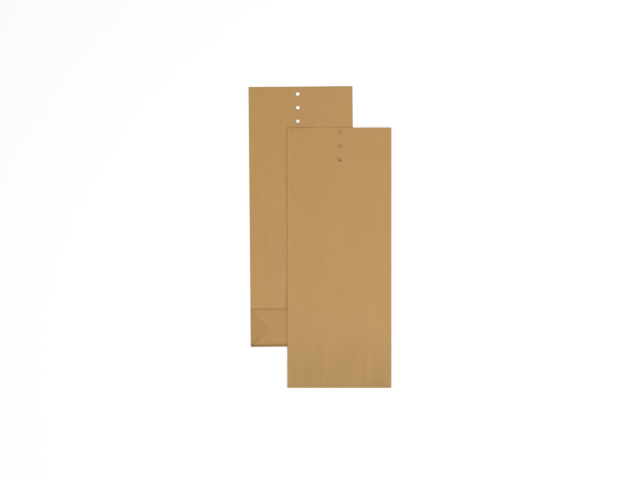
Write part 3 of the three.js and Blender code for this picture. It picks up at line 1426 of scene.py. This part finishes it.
    def tuck_fold(self, side: Side, layer: Layer, starts: tuple[float, float], end: float,
                  part: Part) -> Patch:
        """A fold between a tuck and the layer under it, whose first half fills the stack's side.

        Args:
            side: the side.
            layer: the layer under the tuck.
            starts: where the first and the second half start along the envelope.
            end: where both end.
            part: the part that is wanted.

        Returns:
            The fold's patch.
        """
        below = Layer.GUSSET_BACK if part is Part.FIRST else layer
        start = starts[1] if part is Part.SECOND else starts[0]
        return self.fold(Run.ALONG, (Layer.TUCK, below), side.value * self.edge, side.value,
                         start, end, part)

    def mouth_bends(self) -> None:
        """Makes the narrow bends of paper between the stretches, for every layer and fold."""
        for lower, upper in zip(self.stretches, self.stretches[1:]):
            low, high = lower.high, upper.low
            patches = [self.bend_strip(layer, -self.sheet_edge, self.sheet_edge, low, high)
                       for layer in (Layer.FRONT, Layer.BACK)]
            for side in Side:
                patches += [self.bend_strip(layer, *self.gusset_ends(side), low, high)
                            for layer in (Layer.GUSSET_FRONT, Layer.GUSSET_BACK)]
                patches += [self.fold(Run.ALONG, layers, line, outward, low, high,
                                      rows=self.bend_rows)
                            for _, layers, line, outward in self.side_lines(side)]
            name = f"{self.prefix}{upper.word}_crease_bend"
            piece = self.finish(name, patches, self.back_relief, self.face)
            bodies = [self.body(self.node(Layer.FRONT, word=part.word)) for part in (lower, upper)]
            self.place(0, low, 0)
            self.place(0, high, 0)
            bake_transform(piece)

    def bend_strip(self, layer: Layer, left: float, right: float, low: float,
                   high: float) -> Patch:
        """One layer of a mouth crease's bend.

        Args:
            layer: the layer.
            left: its left end.
            right: its right end.
            low: its lower edge along the envelope.
            high: its upper edge.

        Returns:
            The strip, with many fine rows.
        """
        columns = max(2, round((right - left) / self.step))
        across, along = np.meshgrid(np.linspace(left, right, columns + 1),
                                    np.linspace(low, high, self.bend_rows + 1))
        level = np.full_like(across, self.levels[layer])
        if layer is not Layer.BACK:
            return self.patch(layer, across, along, level)
        slack = smooth(np.minimum(across - left, right - across), 0, self.fade)
        return self.patch(layer, across, along, level, slack,
                          self.rise(self.back_relief, across, along))

    def build(self) -> None:
        """Makes every piece of the envelope."""
        for stretch in self.stretches:
            self.tube(stretch)
        self.bottom()
        self.mouth_bends()
        LOG.info("%s envelope: %d pieces", self.prefix, len(self.made))


def smooth(value: np.ndarray, low: float, high: float) -> np.ndarray:
    """A smooth step from 0 at low to 1 at high."""
    part = np.clip((value - low) / (high - low), 0, 1)
    return part * part * (3 - 2 * part)


def rectangle(left: float, right: float, low: float, high: float) -> list[tuple[float, float]]:
    """The corners of an upright rectangle, from the low left one."""
    return [(left, low), (right, low), (right, high), (left, high)]


def tidy_normals(mesh: bpy.types.Mesh) -> None:
    """Joins doubled points, points the faces outwards and shades the mesh smooth but for edges.

    Args:
        mesh: the mesh.
    """
    work = bmesh.new()
    work.from_mesh(mesh)
    bmesh.ops.remove_doubles(work, verts=work.verts, dist=SAME_POINT)
    bmesh.ops.recalc_face_normals(work, faces=work.faces)
    for edge in work.edges:
        if len(edge.link_faces) == 2 and edge.calc_face_angle(0.0) > SHARP_FOLD:
            edge.smooth = False
    for face in work.faces:
        face.smooth = True
    work.to_mesh(mesh)
    work.free()


@dataclass(frozen=True)
class Lamp:
    """A soft square lamp that points at the pair."""

    name: str
    place: tuple[float, float, float]
    size: float
    power: float

    def hang(self) -> None:
        """Hangs the lamp."""
        data = bpy.data.lights.new(self.name, "AREA")
        data.size = self.size
        data.energy = self.power
        lamp = bpy.data.objects.new(self.name, data)
        lamp.location = self.place
        lamp.rotation_euler = (-Vector(self.place)).to_track_quat("-Z", "Y").to_euler()
        bpy.context.scene.collection.objects.link(lamp)


@dataclass
class Studio:
    """A pale floor, soft light and a camera that looks straight down."""

    pixel: float = 1.152 * MM
    picture: tuple[int, int] = (640, 480)
    view_x: float = 319.93
    view_y: float = 236.9
    distance: float = 1.5
    sensor: float = 36.0
    nearest: float = 0.05
    floor_half: float = 3.0
    floor_gap: float = 0.05 * MM
    floor_colour: tuple[float, float, float] = (0.44, 0.44, 0.436)
    floor_roughness: float = 0.9
    floor_glow: float = 0.58
    sky: float = 0.30
    lamps: tuple[Lamp, ...] = (
        Lamp("right_lamp", (0.62, -0.30, 0.66), 0.5, 1.75),
        Lamp("overhead_lamp", (0.15, -0.22, 1.60), 0.6, 17.2),
    )

    def camera(self) -> None:
        """Sets the camera over the pair, where the photograph was taken from."""
        lo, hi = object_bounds()
        data = bpy.data.cameras.new("camera")
        data.sensor_width = self.sensor
        data.lens = self.sensor * self.distance / (self.picture[0] * self.pixel)
        data.clip_start = self.nearest
        camera = bpy.data.objects.new("camera", data)
        right = (self.picture[0] / 2 - self.view_x) * self.pixel
        down = (self.picture[1] / 2 - self.view_y) * self.pixel
        middle = (lo + hi) / 2
        camera.location = (middle.x + right, middle.y - down, hi.z + self.distance)
        bpy.context.scene.collection.objects.link(camera)
        bpy.context.scene.camera = camera

    def floor(self) -> None:
        """Lays a wide pale floor just under the pair."""
        work = bmesh.new()
        bmesh.ops.create_grid(work, x_segments=8, y_segments=8, size=self.floor_half)
        mesh = bpy.data.meshes.new("floor")
        work.to_mesh(mesh)
        work.free()
        mesh.transform(Matrix.Translation((0, 0, -self.floor_gap)))
        made = bpy.data.materials.new("pale_floor")
        made.use_nodes = True
        shader = made.node_tree.nodes["Principled BSDF"]
        for socket, value in (("Base Color", (*self.floor_colour, 1)),
                              ("Roughness", self.floor_roughness),
                              ("Emission Color", (1, 1, 1, 1)),
                              ("Emission Strength", self.floor_glow)):
            shader.inputs[socket].default_value = value
        mesh.materials.append(made)
        floor = bpy.data.objects.new("floor", mesh)
        bpy.context.scene.collection.objects.link(floor)
        floor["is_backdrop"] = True

    def light(self) -> None:
        """Lights the pair softly, a little more from the upper right."""
        world = bpy.data.worlds.new("studio")
        world.use_nodes = True
        sky = world.node_tree.nodes["Background"]
        sky.inputs["Color"].default_value = (1, 1, 1, 1)
        sky.inputs["Strength"].default_value = self.sky
        bpy.context.scene.world = world
        for lamp in self.lamps:
            lamp.hang()
        bpy.context.scene.view_settings.view_transform = "Standard"

    def build(self) -> None:
        """Sets up the studio."""
        self.camera()
        self.floor()
        self.light()


def main() -> None:
    """Builds the studio and both envelopes."""
    logging.basicConfig(level=logging.INFO, format="%(name)s: %(message)s")
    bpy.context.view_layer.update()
    Studio().build()
    cut = Cut()
    under_row = ClaspRow(shift=-3.3 * MM, first=8.5 * MM)
    over_row = ClaspRow(shift=0.7 * MM, first=5.4 * MM)
    under_marks = MouthMarks(under_row, cut, edge_shade=0.13, heel_shade=0.22, fading=0.015)
    over_marks = HandledMarks(over_row, cut, rim_shades=(0.28, 0.32, 0.36),
                              rim_leans=(0.3, 0.5, 1.0), plain_edge=(-32 * MM, 14 * MM),
                              fold_light=0.06, fading=0.05)
    inner, hidden_flaps, shown_flaps, flap_side, smooth_side = (
        finish.material() for finish in (
            Kraft("kraft_paper"),
            # The flaps in view get a deeper painted shade along their lower end.
            Kraft("kraft_paper_pasted", PasteMarks(cut, end_shade=0.12), mottle=0.10, paste=0.03),
            Kraft("kraft_paper_pasted_shown", PasteMarks(cut, end_shade=0.30), mottle=0.10,
                  paste=0.03),
            Kraft("kraft_flap_side", under_marks),
            Kraft("kraft_smooth_side", over_marks),
        ))
    tree, punches = ReliefTree(), PunchTree()
    Envelope(
        "under", tree, punches, inner, flap_side, shown_flaps, under_row, cut,
        mouth_ends=(8 * MM, 36 * MM),
        back_relief=Relief(bulge=0.16 * MM, crease=0.10 * MM, seed=3.0, swell=1.05 * MM,
                           mouth=-0.5 * MM),
        flap_relief=Relief(bulge=0.14 * MM, wave=10 * MM, seed=8.0),
        stretch_words=("", "_mouth_lower_strip", "_mouth_upper_strip"),
    ).build()
    Envelope(
        "over", tree, punches, inner, smooth_side, hidden_flaps, over_row, cut,
        mouth_ends=(14 * MM, 46 * MM),
        back_relief=Relief(bulge=-0.08 * MM, seed=27.0, mouth=-0.15 * MM),
        flap_relief=Relief(bulge=-0.10 * MM, wave=10 * MM, seed=31.0),
        front_relief=Relief(bulge=-0.16 * MM, crease=-0.10 * MM, dent=0.30 * MM, seed=21.0,
                            swell=-0.25 * MM, mouth=-1.05 * MM),
        slips=((-3.2 * MM, -2.8 * MM), (-2.2 * MM, -1.9 * MM)),
    ).build()


if __name__ == "__main__":
    main()
